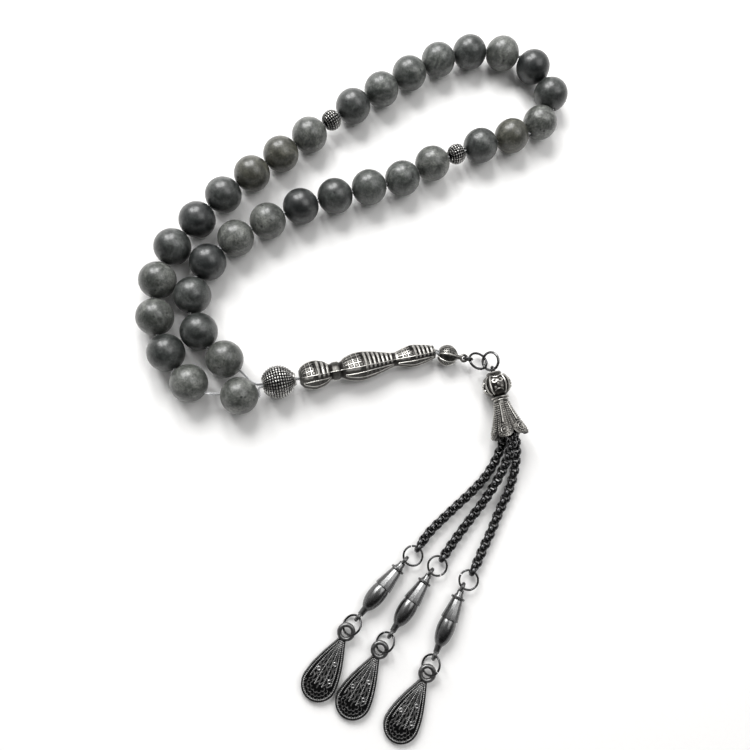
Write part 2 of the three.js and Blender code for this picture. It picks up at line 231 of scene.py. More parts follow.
# Round wire along a line of points.
def wireAlong(line, wire, sides=6):
    curve = bpy.data.curves.new("wire", "CURVE")
    curve.dimensions = "3D"
    curve.bevel_depth = wire
    curve.bevel_resolution = max(0, sides // 2 - 2)
    curve.use_fill_caps = True
    spline = curve.splines.new("POLY")
    spline.points.add(len(line) - 1)
    for spot, place in zip(spline.points, line):
        spot.co = (*place, 1)
    only(placed("wire", curve))
    bpy.ops.object.convert(target="MESH")
    return bpy.context.object


# One mesh made of copies of a model at many places; the model itself goes.
def copies(model, places):
    mesh = model.data
    spots = np.array([v.co for v in mesh.vertices])
    faces = [tuple(p.vertices) for p in mesh.polygons]
    allSpots, allFaces = [], []
    for i, place in enumerate(places):
        m = np.array(place)
        allSpots.append(spots @ m[:3, :3].T + m[:3, 3])
        allFaces += [tuple(v + i * len(spots) for v in face) for face in faces]
    made = bpy.data.meshes.new("copies")
    made.from_pydata(np.concatenate(allSpots).tolist(), [], allFaces)
    bpy.data.objects.remove(model)
    return only(placed("copies", made))


# Tiny round grains, each with only a few faces.
def grains(places, radius, flat=1.0):
    nothingSelected()
    bpy.ops.mesh.primitive_ico_sphere_add(subdivisions=1, radius=radius)
    grain = bpy.context.object
    squash = Matrix.Diagonal((1, 1, flat, 1))
    spots = [m if isinstance(m, Matrix) else Matrix.Translation(m) for m in places]
    return copies(grain, [m @ squash for m in spots])


def joinPieces(*pieces):
    nothingSelected()
    for piece in pieces:
        piece.select_set(True)
    bpy.context.view_layer.objects.active = pieces[0]
    bpy.ops.object.join()
    return bpy.context.object


# Paints how polished each point is: 0 is a black recess, 1 is bright raised work. The cord's grooves use
# the same attribute for painted shade.
def polishAndPaintedShade(piece, rule):
    marks = piece.data.attributes
    layer = marks.get("polishAndPaintedShade") or marks.new("polishAndPaintedShade", "FLOAT", "POINT")
    shades = [max(0.0, min(1.0, rule(v.co / mm))) for v in piece.data.vertices]
    layer.data.foreach_set("value", shades)
    return piece


# Joins bright raised trim to a body.
def withTrim(body, *trim):
    for piece in trim:
        polishAndPaintedShade(piece, lambda p: 1.0)
    return joinPieces(body, *trim)


# Picks the faces whose middle, in millimetres, fits a rule.
def selectFaces(piece, rule):
    only(piece)
    editMode()
    bpy.ops.mesh.select_mode(type="FACE")
    bpy.ops.mesh.select_all(action="DESELECT")
    objectMode()
    for face in piece.data.polygons:
        face.select = rule(face.center / mm)
    editMode()


def insetFaces(thickness, depth, each=True):
    bpy.ops.mesh.inset(thickness=thickness * mm, depth=depth * mm, use_individual=each)


# Moves each point of a piece by a rule that takes and gives millimetres.
def reshape(piece, rule):
    for v in piece.data.vertices:
        v.co = Vector(rule(v.co / mm)) * mm


def moved(piece, place):
    piece.data.transform(place)
    return piece


def finishPiece(piece, name, node, material, body=None, smooth=40):
    only(piece)
    piece.name = name
    piece.data.name = name
    piece.data.materials.clear()
    piece.data.materials.append(material)
    bpy.ops.object.shade_smooth_by_angle(angle=math.radians(smooth))
    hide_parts(node)
    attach(piece, body or node)
    return piece


# Camera

cameraSettings = {
    "place": (-20.2, -37.9, 190.7),
    "look": (0.1157, 0.1715, -0.9784),
    "lens": 33.6,
}


def makeCamera():
    settings = cameraSettings
    camera = bpy.data.cameras.new("camera")
    camera.lens = settings["lens"]
    camera.sensor_width = 36
    camera.clip_start = 0.01
    cameraObject = placed("camera", camera)
    back = -Vector(settings["look"]).normalized()
    upward = back.cross(Vector((1, 0, 0))).normalized()
    basis = Matrix((upward.cross(back), upward, back)).transposed().to_4x4()
    cameraObject.matrix_world = Matrix.Translation(Vector(settings["place"]) * mm) @ basis
    bpy.context.scene.camera = cameraObject


makeCamera()
print("camera set")


# Materials

def newMaterial(name):
    material = bpy.data.materials.new(name)
    material.use_nodes = True
    tree = material.node_tree
    return material, tree, tree.nodes["Principled BSDF"]


def addNode(tree, kind, inputs=(), **settings):
    node = tree.nodes.new(kind)
    for key, value in settings.items():
        setattr(node, key, value)
    for socket, value in dict(inputs).items():
        if isinstance(value, bpy.types.NodeSocket):
            tree.links.new(value, node.inputs[socket])
        else:
            node.inputs[socket].default_value = value
    return node


def objectCoords(tree):
    return addNode(tree, "ShaderNodeTexCoord").outputs["Object"]


def addRamp(tree, source, stops):
    ramp = addNode(tree, "ShaderNodeValToRGB", {"Fac": source})
    while len(ramp.color_ramp.elements) < len(stops):
        ramp.color_ramp.elements.new(0.5)
    for element, (where, tone) in zip(ramp.color_ramp.elements, stops):
        element.position = where
        element.color = (*tone, 1) if isinstance(tone, tuple) else (tone, tone, tone, 1)
    return ramp.outputs["Color"]


def mixed(tree, how, factor, a, b):
    node = addNode(tree, "ShaderNodeMix", data_type="RGBA", blend_type=how)
    for socket, value in ((0, factor), (6, a), (7, b)):
        if isinstance(value, bpy.types.NodeSocket):
            tree.links.new(value, node.inputs[socket])
        else:
            node.inputs[socket].default_value = value
    return node.outputs[2]


def addBump(tree, shader, height, strength, distance):
    settings = {"Height": height, "Strength": strength, "Distance": distance}
    bump = addNode(tree, "ShaderNodeBump", settings)
    tree.links.new(bump.outputs["Normal"], shader.inputs["Normal"])


# Each look has a dark, a middle and a pale tone.
stoneLooks = {
    "light": ((0.036, 0.039, 0.035), (0.072, 0.076, 0.069), (0.145, 0.15, 0.138)),
    "middle": ((0.031, 0.035, 0.032), (0.06, 0.065, 0.06), (0.112, 0.119, 0.109)),
    "dark": ((0.014, 0.016, 0.015), (0.031, 0.034, 0.032), (0.066, 0.071, 0.067)),
    "night": ((0.006, 0.007, 0.007), (0.014, 0.016, 0.016), (0.034, 0.037, 0.036)),
    "olive": ((0.024, 0.024, 0.018), (0.05, 0.05, 0.039), (0.095, 0.094, 0.075)),
}


# Grey-green stone: cloudy body, fine grain, dark specks and a faint silky sheen.
def stoneMaterial(number, look, specks, stripes):
    dark, middle, pale = stoneLooks[look]
    material, tree, shader = newMaterial("stone%02d" % number)
    dice = random.Random(number)
    shift = [dice.uniform(-1, 1) for _ in range(3)]
    turn = [dice.uniform(0, 6) for _ in range(3)]
    coords = objectCoords(tree)
    place = addNode(tree, "ShaderNodeMapping", {"Vector": coords, "Location": shift, "Rotation": turn})
    spot = place.outputs["Vector"]
    cloud = addNode(tree, "ShaderNodeTexNoise", {
        "Vector": spot, "Scale": 230, "Detail": 7, "Roughness": 0.62, "Distortion": 0.9,
    }).outputs["Fac"]
    body = addRamp(tree, cloud, [(0.37, dark), (0.5, middle), (0.66, pale)])
    bands = addNode(tree, "ShaderNodeTexWave", {
        "Vector": spot, "Scale": 190, "Distortion": 7, "Detail": 4, "Detail Scale": 2.2,
    }).outputs["Fac"]
    body = mixed(tree, "OVERLAY", stripes, body, addRamp(tree, bands, [(0, 0.25), (1, 0.75)]))
    grain = addNode(tree, "ShaderNodeTexNoise", {
        "Vector": spot, "Scale": 1900, "Detail": 4, "Roughness": 0.7,
    }).outputs["Fac"]
    body = mixed(tree, "OVERLAY", 0.8, body, addRamp(tree, grain, [(0.32, 0.2), (0.68, 0.8)]))
    cells = addNode(tree, "ShaderNodeTexVoronoi", {"Vector": spot, "Scale": 620, "Randomness": 1})
    dots = addRamp(tree, cells.outputs["Distance"], [(0.12, 1.0), (0.3, 0.0)])
    few = addNode(tree, "ShaderNodeTexNoise", {"Vector": spot, "Scale": 420, "Detail": 2}).outputs["Fac"]
    where = addRamp(tree, few, [(0.62 - specks, 0.0), (0.68 - specks, 1.0)])
    dots = mixed(tree, "MULTIPLY", 1.0, dots, where)
    body = mixed(tree, "MIX", dots, body, (*[0.35 * c for c in dark], 1))
    tree.links.new(body, shader.inputs["Base Color"])
    rough = addNode(tree, "ShaderNodeMapRange", {"Value": cloud, "To Min": 0.3, "To Max": 0.46})
    tree.links.new(rough.outputs["Result"], shader.inputs["Roughness"])
    shader.inputs["Subsurface Weight"].default_value = 0.12
    shader.inputs["Subsurface Radius"].default_value = (1.0, 1.0, 0.9)
    shader.inputs["Subsurface Scale"].default_value = 0.0012
    shader.inputs["Coat Weight"].default_value = 0.3
    shader.inputs["Coat Roughness"].default_value = 0.2
    addBump(tree, shader, grain, 0.12, 0.0002)
    return material


# Silver that is black in the recesses and polished on the raised work.
def agedSilver(name, dark, bright, scale=900, rough=0.26, edges=0.3):
    material, tree, shader = newMaterial(name)
    coords = objectCoords(tree)
    noise = {"Vector": coords, "Scale": scale, "Detail": 6, "Roughness": 0.65}
    wear = addNode(tree, "ShaderNodeTexNoise", noise).outputs["Fac"]
    worn = addRamp(tree, wear, [(0.3, 0.35), (0.7, 1.0)])
    raised = addNode(tree, "ShaderNodeNewGeometry").outputs["Pointiness"]
    tops = addRamp(tree, raised, [(0.5, 0.0), (0.58, edges)])
    painted = addNode(tree, "ShaderNodeAttribute", attribute_name="polishAndPaintedShade").outputs["Fac"]
    shine = addRamp(tree, painted, [(0.3, 0.0), (0.62, 1.0)])
    tops = mixed(tree, "LIGHTEN", 1.0, tops, shine)
    factor = mixed(tree, "MULTIPLY", 1.0, tops, worn)
    tone = mixed(tree, "MIX", factor, (*dark, 1), (*bright, 1))
    tree.links.new(tone, shader.inputs["Base Color"])
    spread = {"Value": wear, "To Min": rough, "To Max": rough + 0.2}
    roughness = addNode(tree, "ShaderNodeMapRange", spread)
    tree.links.new(roughness.outputs["Result"], shader.inputs["Roughness"])
    shader.inputs["Metallic"].default_value = 1.0
    addBump(tree, shader, wear, 0.12, 0.00005)
    return material


# Wire metal, smooth and glossy, with fine scratches; its dark base tone is painted reflection of a dark
# room.
def darkReflectionMetal(name, tone, rough):
    material, tree, shader = newMaterial(name)
    coords = objectCoords(tree)
    stretch = addNode(tree, "ShaderNodeMapping", {"Vector": coords, "Scale": (1, 1, 4)}).outputs["Vector"]
    noise = {"Vector": stretch, "Scale": 1400, "Detail": 5, "Roughness": 0.7}
    scratches = addNode(tree, "ShaderNodeTexNoise", noise).outputs["Fac"]
    paler = tuple(1.6 * c for c in tone)
    shade = addRamp(tree, scratches, [(0.35, tone), (0.75, paler)])
    tree.links.new(shade, shader.inputs["Base Color"])
    spread = {"Value": scratches, "To Min": rough, "To Max": rough + 0.16}
    gloss = addNode(tree, "ShaderNodeMapRange", spread)
    tree.links.new(gloss.outputs["Result"], shader.inputs["Roughness"])
    shader.inputs["Metallic"].default_value = 1.0
    addBump(tree, shader, scratches, 0.04, 0.00004)
    return material


def threadMaterial():
    material, tree, shader = newMaterial("threadMaterial")
    coords = objectCoords(tree)
    noise = {"Vector": coords, "Scale": 6000, "Detail": 4, "Roughness": 0.7}
    fibre = addNode(tree, "ShaderNodeTexNoise", noise).outputs["Fac"]
    shade = addRamp(tree, fibre, [(0.3, (0.42, 0.425, 0.43)), (0.7, (0.8, 0.81, 0.82))])
    # painted shade: the attribute darkens the grooves between the twisted strands
    painted = addNode(tree, "ShaderNodeAttribute", attribute_name="polishAndPaintedShade").outputs["Fac"]
    shade = mixed(tree, "MULTIPLY", 1.0, shade, addRamp(tree, painted, [(0.1, 0.15), (0.5, 1.0)]))
    tree.links.new(shade, shader.inputs["Base Color"])
    shader.inputs["Metallic"].default_value = 0.1
    shader.inputs["Roughness"].default_value = 0.42
    shader.inputs["Sheen Weight"].default_value = 0.3
    addBump(tree, shader, fibre, 0.3, 0.00006)
    return material


silver = agedSilver("agedSilver", (0.014, 0.013, 0.012), (0.62, 0.605, 0.57))
silverDots = agedSilver(
    "dottedSilver", (0.006, 0.006, 0.006), (0.62, 0.61, 0.59), rough=0.22, edges=0.0
)
pendantSilver = agedSilver(
    "pendantSilver", (0.022, 0.022, 0.023), (0.55, 0.545, 0.54), rough=0.27, edges=0.12
)
# painted reflection: these metals get dark base tones that stand for the dark room mirrored in them
plate = darkReflectionMetal("darkReflectionMetal", (0.055, 0.055, 0.056), 0.14)
brightPlate = darkReflectionMetal("brightPlate", (0.12, 0.12, 0.12), 0.18)
thread = threadMaterial()
print("materials ready")

# Cord: from the end bead through head, beads and head again

headAxis = axisOf("ball")
ballMiddle = pivotOf("ball")
endSettings = {
    "azimuth": -10,
    "eyeDistance": 4.75,
    "radius": 2.85,
    "half": 2.7,
    "hole": 0.9,
    "seams": 8,
    "seamEnd": 64,  # how far a seam runs from the middle, in degrees
    "seamHalf": 2.75,
    "eye": (0.9, 0.35),
    "link": (1.15, 0.34),
    "ringA": (2.6, 0.35),
    "ringB": (2.5, 0.38),
}
endAxis = heading(endSettings["azimuth"])
endMiddle = pivotOf("end_link") - endAxis * endSettings["eyeDistance"] * mm
beadNames = ["bead_%02d" % n for n in range(1, 34)]
onLoop = list(beadNames)
onLoop.insert(22, "divider_2")
onLoop.insert(11, "divider_1")

cordSettings = {
    "length": 0.467,
    "diameter": 0.0008,
    "strandOffset": 0.0004,
    "twist": 0.0011,  # length of one full twist
    "step": 0.00018,
    "inEndBead": 1.6,
    "ballFront": 4.9,
    "beadHalf": 5,
    "dividerHalf": 2.75,
    "lobes": 3,
    "sides": 12,
}


def cordRoute():
    settings = cordSettings
    side = up.cross(headAxis).normalized() * settings["strandOffset"]
    shaftFar = ballMiddle + headAxis * (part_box("head_shaft")[1].x - ballMiddle.x) / headAxis.x
    inHead = [
        endMiddle - endAxis * settings["inEndBead"] * mm,
        shaftFar,
        ballMiddle - headAxis * settings["ballFront"] * mm,
    ]
    out = [p - side for p in inHead]
    home = [p + side for p in reversed(inHead)]
    middle = []
    for node in onLoop:
        half = (settings["dividerHalf"] if "divider" in node else settings["beadHalf"]) * mm
        place = middleOf(node)
        middle += [place - axisOf(node) * half, place + axisOf(node) * half]
    return out + middle + home


def makeCord():
    settings = cordSettings
    route = cordRoute()
    line = evenly(smoothLine(route, 0.0004), round(settings["length"] / settings["step"]))
    lobes = []
    for i in range(settings["sides"]):
        a = 2 * math.pi * i / settings["sides"]
        r = settings["diameter"] / 2 * (0.8 + 0.2 * math.cos(settings["lobes"] * a))
        lobes.append((r * math.cos(a), r * math.sin(a), 0))
    section = bpy.data.curves.new("section", "CURVE")
    outline = section.splines.new("POLY")
    outline.points.add(len(lobes) - 1)
    for spot, place in zip(outline.points, lobes):
        spot.co = (*place, 1)
    outline.use_cyclic_u = True
    sectionObject = placed("section", section)
    curve = bpy.data.curves.new("cordThread", "CURVE")
    curve.dimensions = "3D"
    curve.bevel_mode = "OBJECT"
    curve.bevel_object = sectionObject
    curve.use_fill_caps = True
    spline = curve.splines.new("POLY")
    spline.points.add(len(line) - 1)
    turn = 2 * math.pi * settings["step"] / settings["twist"]
    for i, (spot, place) in enumerate(zip(spline.points, line)):
        spot.co = (*place, 1)
        spot.tilt = i * turn
    only(placed("cordThread", curve))
    bpy.ops.object.convert(target="MESH")
    cordObject = bpy.context.object
    bpy.data.objects.remove(sectionObject)
    # painted shade: the grooves between the twisted strands are painted dark
    layer = cordObject.data.attributes.new("polishAndPaintedShade", "FLOAT", "POINT")
    step = 2 * math.pi * settings["lobes"] / settings["sides"]
    grooveShade = [0.5 + 0.5 * math.cos(step * i) for i in range(len(layer.data))]
    layer.data.foreach_set("value", grooveShade)
    finishPiece(cordObject, "cordThread", "cord", thread, "strand", smooth=60)
    print("cord is %.4f m long" % lengthOf(line))


makeCord()

# Stone beads

beadSettings = {
    "radius": 5,
    "hole": 0.55,
    "bands": 20,
    "segments": 40,
    "looks": {
        "light": [1, 2, 4, 5, 11, 17, 20, 23, 28, 29, 33],
        "middle": [13, 14, 15, 24, 25],
        "dark": [3, 6, 8, 12, 16, 22, 26, 31, 32, 19],
        "night": [7, 18, 27, 30],
        "olive": [9, 10, 21],
    },
    "specked": [1, 4, 17, 20, 28, 32],
    "striped": [15, 22, 24, 20, 13],
}


# Ball with a drilled bore; the hole's edges are rounded a little.
def drilledOutline(radius, half, hole, bands):
    edge = math.asin(hole * 1.5 / radius)
    arc = [edge + (math.pi - 2 * edge) * i / bands for i in range(bands + 1)]
    skin = [(-half * math.cos(a), radius * math.sin(a)) for a in arc]
    lip = half * math.cos(edge) - hole * 0.3
    inside = [(lip, hole), (-lip, hole)]
    return skin + inside + [skin[0]]


def makeBeads():
    settings = beadSettings
    radius = settings["radius"]
    outline = drilledOutline(radius, radius, settings["hole"], settings["bands"])
    model = turned(outline, settings["segments"])
    for number, node in enumerate(beadNames, 1):
        look = next(k for k, v in settings["looks"].items() if number in v)
        specks = 0.13 if number in settings["specked"] else 0.05
        stripes = 0.55 if number in settings["striped"] else 0.2
        bead = placed("bead", model.data.copy())
        roll = random.uniform(0, 360)
        moved(bead, placeAt(middleOf(node), axisOf(node), roll=roll))
        stone = stoneMaterial(number, look, specks, stripes)
        finishPiece(bead, "stoneBead%02d" % number, node, stone)
    bpy.data.objects.remove(model)


makeBeads()
print("stone beads done")

# Dotted dividers and knurled ball

dividerSettings = {"radius": 2.7, "half": 2.55, "hole": 0.5, "rows": 10, "segments": 22, "rise": 0.3}
ballSettings = {"radius": 4.28, "hole": 1.0, "rows": 15, "segments": 32, "rise": 0.34}


# Poking every face up into a small point gives rows of studs.
def studded(piece, rise, rule):
    selectFaces(piece, rule)
    insetFaces(0.07, 0.0)
    insetFaces(0.09, rise * 0.75)
    bpy.ops.mesh.poke(offset=rise * 0.25 * mm)
    objectMode()
    return piece


def makeDividers():
    settings = dividerSettings
    radius, half = settings["radius"], settings["half"]
    outline = drilledOutline(radius, half, settings["hole"], settings["rows"])

    def studHeight(p):
        return (math.hypot(p.x * radius / half, p.y, p.z) - radius) / settings["rise"] + 0.1

    for i in (1, 2):
        node = "divider_%d" % i
        piece = turned(outline, settings["segments"])
        studded(piece, settings["rise"], lambda c: outOf(c) > 1.1)
        polishAndPaintedShade(piece, studHeight)
        moved(piece, placeAt(middleOf(node), axisOf(node)))
        finishPiece(piece, "dottedDivider%d" % i, node, silverDots, smooth=25)


def makeBall():
    settings = ballSettings
    radius, hole = settings["radius"], settings["hole"]
    first = math.asin(1.5 / radius)
    rows = settings["rows"]
    arc = [first + (math.pi - 2 * first) * i / rows for i in range(rows + 1)]
    skin = [(-radius * math.cos(a), radius * math.sin(a)) for a in arc]
    front = skin[-1][0]
    collar = [(front + 0.1, 1.75), (front + 0.35, 1.8), (front + 0.7, 1.6), (front + 0.75, hole)]
    outline = skin + collar + [(skin[0][0] + 0.1, hole), skin[0]]
    piece = turned(outline, settings["segments"])
    studded(piece, settings["rise"], lambda c: outOf(c) > 1.7 and c.length > radius * 0.97)
    polishAndPaintedShade(piece, lambda p: (p.length - radius) / settings["rise"] + 0.1)
    moved(piece, placeAt(ballMiddle, headAxis))
    finishPiece(piece, "knurledBall", "ball", silverDots, smooth=25)


makeDividers()
makeBall()
print("ball and dividers done")

# Head shaft

shaftSettings = {
    "length": 38,
    "hole": 1.0,
    "profile": [
        (0, 1.9), (1.5, 3), (4.2, 3.5), (7, 2.9), (8.5, 2.0), (9.2, 2.3), (10.7, 2.3),
        (11.3, 2.0), (13, 2.9), (16.5, 3.52), (21, 3), (26.5, 1.85), (28.5, 2.25),
        (31.5, 2.82), (35, 2.4), (37.4, 1.9), (38, 1.85),
    ],
    "scales": [(0.6, 4.3), (12.0, 17.4), (27.2, 31.6)],
    "ribs": [(4.3, 8.3), (17.4, 26.0), (31.6, 37.6)],
    "scaleLength": 1.4,
    "bulges": [(0.6, 8.4), (12.0, 26.2), (27.0, 37.6)],
    "plainStops": [0, 8.6, 9.1, 9.3, 10.0, 10.6, 10.8, 11.3, 26.5, 38],
    "ribPitch": 1.3,
    "ribRise": 0.26,
    "ribShape": [(0.0, -0.4), (0.18, -0.3), (0.34, 0.5), (0.52, 1.0), (0.72, 0.6), (0.88, -0.3)],
    "segments": 16,
    "ridge": 0.3,
    "roll": -11,
    "keel": -22.5,  # angle of the first keel from the top, in degrees
    "skin": 1.3,  # points nearer the axis than this belong to the bore
    "lineSpread": 17,
    "lineWire": 0.13,
    "keelWire": 0.1,
}


# Gives a smooth radius for every distance along a profile.
def radiusRule(profile):
    fine = smoothLine([(x, r, 0) for x, r in profile], 0.2)
    xs, rs = [p.x for p in fine], [p.y for p in fine]
    return lambda x: float(np.interp(x, xs, rs))


shaftRadius = radiusRule(shaftSettings["profile"])


# The carved section is a square with a keel at each corner.
def keeled(x, angle):
    corner = math.cos(4 * math.radians(angle - shaftSettings["keel"]))
    r = shaftRadius(x) - 0.1
    ridge = shaftSettings["ridge"] * max(0, corner) ** 12
    return r + (0.09 * corner + ridge) * (r - shaftSettings["skin"]) / 2


def onShaft(x, angle, rise=0.0):
    return aroundX(x, keeled(x, angle) + rise, angle) * mm


# Two opposite sides carry the scales and ribs; the other two carry long lines.
def onRibbedSide(angle):
    return (angle - shaftSettings["keel"]) % 180 < 90


def shaftOutline():
    settings = shaftSettings
    stops = []
    for low, high in settings["scales"]:
        rows = round((high - low) / settings["scaleLength"])
        stops += [(low + (high - low) * i / rows, 0.0) for i in range(rows + 1)]
    for low, high in settings["ribs"]:
        count = round((high - low) / settings["ribPitch"])
        pitch = (high - low) / count
        for i in range(count):
            for share, rise in settings["ribShape"]:
                stops.append((low + pitch * (i + share), rise * settings["ribRise"]))
    stops += [(x, 0.0) for x in settings["plainStops"]]
    stops = sorted({round(x, 2): rise for x, rise in stops}.items())
    skin = [(x, shaftRadius(x) + rise - 0.1) for x, rise in stops]
    return skin + [(settings["length"], settings["hole"]), (0, settings["hole"]), skin[0]]


def makeShaft():
    settings = shaftSettings
    piece = turned(shaftOutline(), settings["segments"])

    def inScales(x):
        return any(low < x < high for low, high in settings["scales"])

    def onScales(c):
        return inScales(c.x) and onRibbedSide(angleOf(c)) and outOf(c) > 1.5

    def riseOf(p):
        return outOf(p) - shaftRadius(p.x) + 0.1

    selectFaces(piece, onScales)
    insetFaces(0.1, 0.0)
    insetFaces(0.06, -0.2)
    insetFaces(0.14, 0.0)
    insetFaces(0.05, 0.18)
    objectMode()

    def shine(p):
        if outOf(p) < settings["skin"] or not onRibbedSide(angleOf(p)):
            return 0.15
        return (riseOf(p) + 0.12) / 0.1 if inScales(p.x) else 0.1 + (riseOf(p) - 0.04) / 0.14

    def carved(p):
        if outOf(p) < settings["skin"]:
            return p
        rise = riseOf(p) if onRibbedSide(angleOf(p)) else 0.2 * riseOf(p)
        return onShaft(p.x, angleOf(p), rise) / mm

    polishAndPaintedShade(piece, shine)
    reshape(piece, carved)
    trim = []
    for low, high in settings["bulges"]:
        for side in (135, 315):
            for way in (-1, 1):
                line = []
                for t in np.linspace(0.02, 0.98, 24):
                    spread = way * settings["lineSpread"] * math.sqrt(math.sin(math.pi * t))
                    angle = settings["keel"] + side + spread
                    line.append(onShaft(low + (high - low) * t, angle, 0.04))
                trim.append(wireAlong(line, settings["lineWire"] * mm))
    for corner in range(4):
        angle = settings["keel"] + 90 * corner
        line = [onShaft(x, angle, 0.02) for x in np.linspace(0.4, 37.4, 80)]
        trim.append(wireAlong(line, settings["keelWire"] * mm))
    piece = withTrim(piece, *trim)
    start = middleOf("head_shaft") - headAxis * settings["length"] / 2 * mm
    start = ballMiddle + headAxis * (start - ballMiddle).dot(headAxis)
    moved(piece, placeAt(start, headAxis, roll=settings["roll"]))
    finishPiece(piece, "reliefShaft", "head_shaft", silver, smooth=30)


makeShaft()
print("head shaft done")

# End bead with its eye, and the small link


def makeEndBead():
    settings = endSettings
    half, hole = settings["half"], settings["hole"]
    piece = turned(drilledOutline(settings["radius"], half, hole, 12), 24)

    # lattice panels and plain panels take turns round the bead
    def onLattice(c):
        return (angleOf(c) + 5) % 90 < 45 and abs(c.x) < 2.2 and outOf(c) > 1.5

    def shine(p):
        return 0.55 if onLattice(p) and math.hypot(p.x * 1.05, p.y, p.z) > 2.78 else 0.15

    selectFaces(piece, onLattice)
    insetFaces(0.05, 0.0)
    insetFaces(0.06, -0.25)
    objectMode()
    polishAndPaintedShade(piece, shine)
    seams = []
    for i in range(settings["seams"]):
        line = []
        for degrees in np.linspace(-settings["seamEnd"], settings["seamEnd"], 15):
            b = math.radians(degrees)
            x, out = settings["seamHalf"] * math.sin(b), settings["radius"] * math.cos(b)
            line.append(aroundX(x, out, 360 / settings["seams"] * i - 5) * mm)
        seams.append(wireAlong(line, 0.16 * mm))
    reach = settings["eyeDistance"] - settings["eye"][0]
    stem = turned([(2.2, 0), (2.2, 1.15), (2.75, 1.05), (2.9, 0.7), (reach, 0.55), (reach, 0)], 16)
    eye = moved(wireLoop(*settings["eye"], steps=28), alongX(settings["eyeDistance"]))
    piece = withTrim(piece, *seams)
    piece = joinPieces(piece, polishAndPaintedShade(stem, lambda p: 0.4), polishAndPaintedShade(eye, lambda p: 0.4))
    moved(piece, placeAt(endMiddle, endAxis))
    finishPiece(piece, "latticeEndBead", "end_bead", silver, "strand", smooth=35)


def ringPiece(name, node, size, gap, turn=0, material=None):
    normal = spreadOf(node)[1]
    along = Vector((normal.z, 0, -normal.x)).normalized()
    ring = wireLoop(*size, gap=gap, steps=44, sides=12)
    place = placeAt(middleOf(node), along, top=normal) @ Matrix.Rotation(math.radians(turn), 4, "Z")
    moved(ring, place)
    return finishPiece(ring, name, node, material or plate, smooth=50)


makeEndBead()
ringPiece("uprightLink", "end_link", endSettings["link"], 0)
ringPiece("headRingA", "head_ring_a", endSettings["ringA"], 7, turn=-75)
ringPiece("headRingB", "head_ring_b", endSettings["ringB"], 7, turn=120, material=brightPlate)
print("end bead and head rings done")

# Tassel top: pin, scroll bead and petal cap

tasselPlace = placeAt(pivotOf("scroll_bead"), axisOf("scroll_bead"))

pinSettings = {
    "topEye": (1.2, 0.28),
    "topEyeAt": -4.2,
    "loop": (1.4, 0.3),
    "loopAt": 7.6,
    "radius": 0.4,
}
scrollSettings = {
    "radius": 3.78,
    "hole": 0.6,
    "panels": 4,
    "wire": 0.25,
    "curlAt": (-15, 13),
    "curlSize": 12,
    "flatness": 0.93,
    "neck": [(-2.85, 1.5), (-3.55, 1.55), (-3.7, 1.9), (-3.3, 2.15), (-2.85, 1.95)],
    "foot": [(3.35, 2.2), (3.5, 2.55), (3.75, 2.5), (3.8, 2.1)],
}
capSettings = {
    "start": 4.0,
    "petals": 6,
    "wall": 0.35,
    "grain": 0.25,
    "grainShares": (0.38, 0.21),
    "rosetteAt": 8.75,
    "rosetteRadius": 4.4,  # of the cap where the rosettes sit
    "profile": [(0, 1.7), (0.8, 1.95), (2.5, 2.3), (5, 3.05), (7.5, 3.95), (9.4, 4.6), (10.7, 4.85)],
}


def makePin():
    settings = pinSettings
    low = settings["topEyeAt"] + settings["topEye"][0]
    high = settings["loopAt"] - settings["loop"][0]
    r = settings["radius"]
    rod = turned([(low, 0), (low, r), (high, r), (high, 0)], 12)
    eye = moved(wireLoop(*settings["topEye"], steps=28), alongX(settings["topEyeAt"]) @ turnX(90))
    loop = moved(wireLoop(*settings["loop"], steps=28), alongX(settings["loopAt"]))
    piece = moved(joinPieces(rod, eye, loop), tasselPlace)
    finishPiece(piece, "eyePin", "tassel_pin", plate, smooth=50)


# A spot on the scroll bead: how far along the axis and how far round, as angles.
def onScrollBead(along, around, rise=0.0):
    settings = scrollSettings
    r, a = settings["radius"] + rise, math.radians(along)
    return aroundX(r * math.sin(a) * settings["flatness"], r * math.cos(a), around) * mm


# One C-curl: a spiral that opens out and meets its mirror image.
def curl(side, centre, size):
    line = []
    for t in np.linspace(0, 1, 24):
        a = math.radians(180 - 300 * (1 - t))
        r = size * (0.35 + 0.65 * t)
        along, around = centre[0] + r * math.sin(a), centre[1] + r * math.cos(a)
        line.append(onScrollBead(along, side * around, 0.06))
    return line


def makeScrollBead():
    settings = scrollSettings
    r, hole = settings["radius"], settings["hole"]
    arc = [math.radians(-62 + 124 * i / 14) for i in range(15)]
    skin = [(settings["flatness"] * r * math.sin(a), (r - 0.25) * math.cos(a)) for a in arc]
    neckHole, footHole = (-2.85, hole), (3.7, hole)
    outline = [neckHole] + settings["neck"] + skin + settings["foot"] + [footHole, neckHole]
    body = turned(outline, 32)
    wires = []
    for panel in range(settings["panels"]):
        about = 360 * panel / settings["panels"] - 10
        turn = turnX(-about)
        for side in (-1, 1):
            strokes = [curl(side, settings["curlAt"], settings["curlSize"])]
            strokes.append([onScrollBead(a, side * 33, 0.02) for a in range(-46, 47, 4)])
            wires += [moved(wireAlong(s, settings["wire"] * mm), turn) for s in strokes]
        leaf = []
        for a in np.linspace(0.1, 3.04, 11):
            leaf.append(onScrollBead(34 - 9 * math.sin(a), 20 * math.cos(a), 0.04))
        brow = []
        for a in range(-27, 28, 6):
            brow.append(onScrollBead(-44 + 12 * math.cos(math.radians(3 * a)), a, 0.04))
        wires.append(moved(wireAlong(leaf, 0.16 * mm), turn))
        wires.append(moved(wireAlong(brow, 0.2 * mm), turn))
        spots = [onScrollBead(17, 14), onScrollBead(17, -14), onScrollBead(3, 0)]
        wires.append(moved(grains(spots, 0.42 * mm), turn))
    polishAndPaintedShade(body, lambda p: 0.7 if abs(p.x + 0.1) > 3.3 else 0.24)
    piece = moved(withTrim(body, *wires), tasselPlace)
    finishPiece(piece, "scrollBead", "scroll_bead", silver, smooth=40)


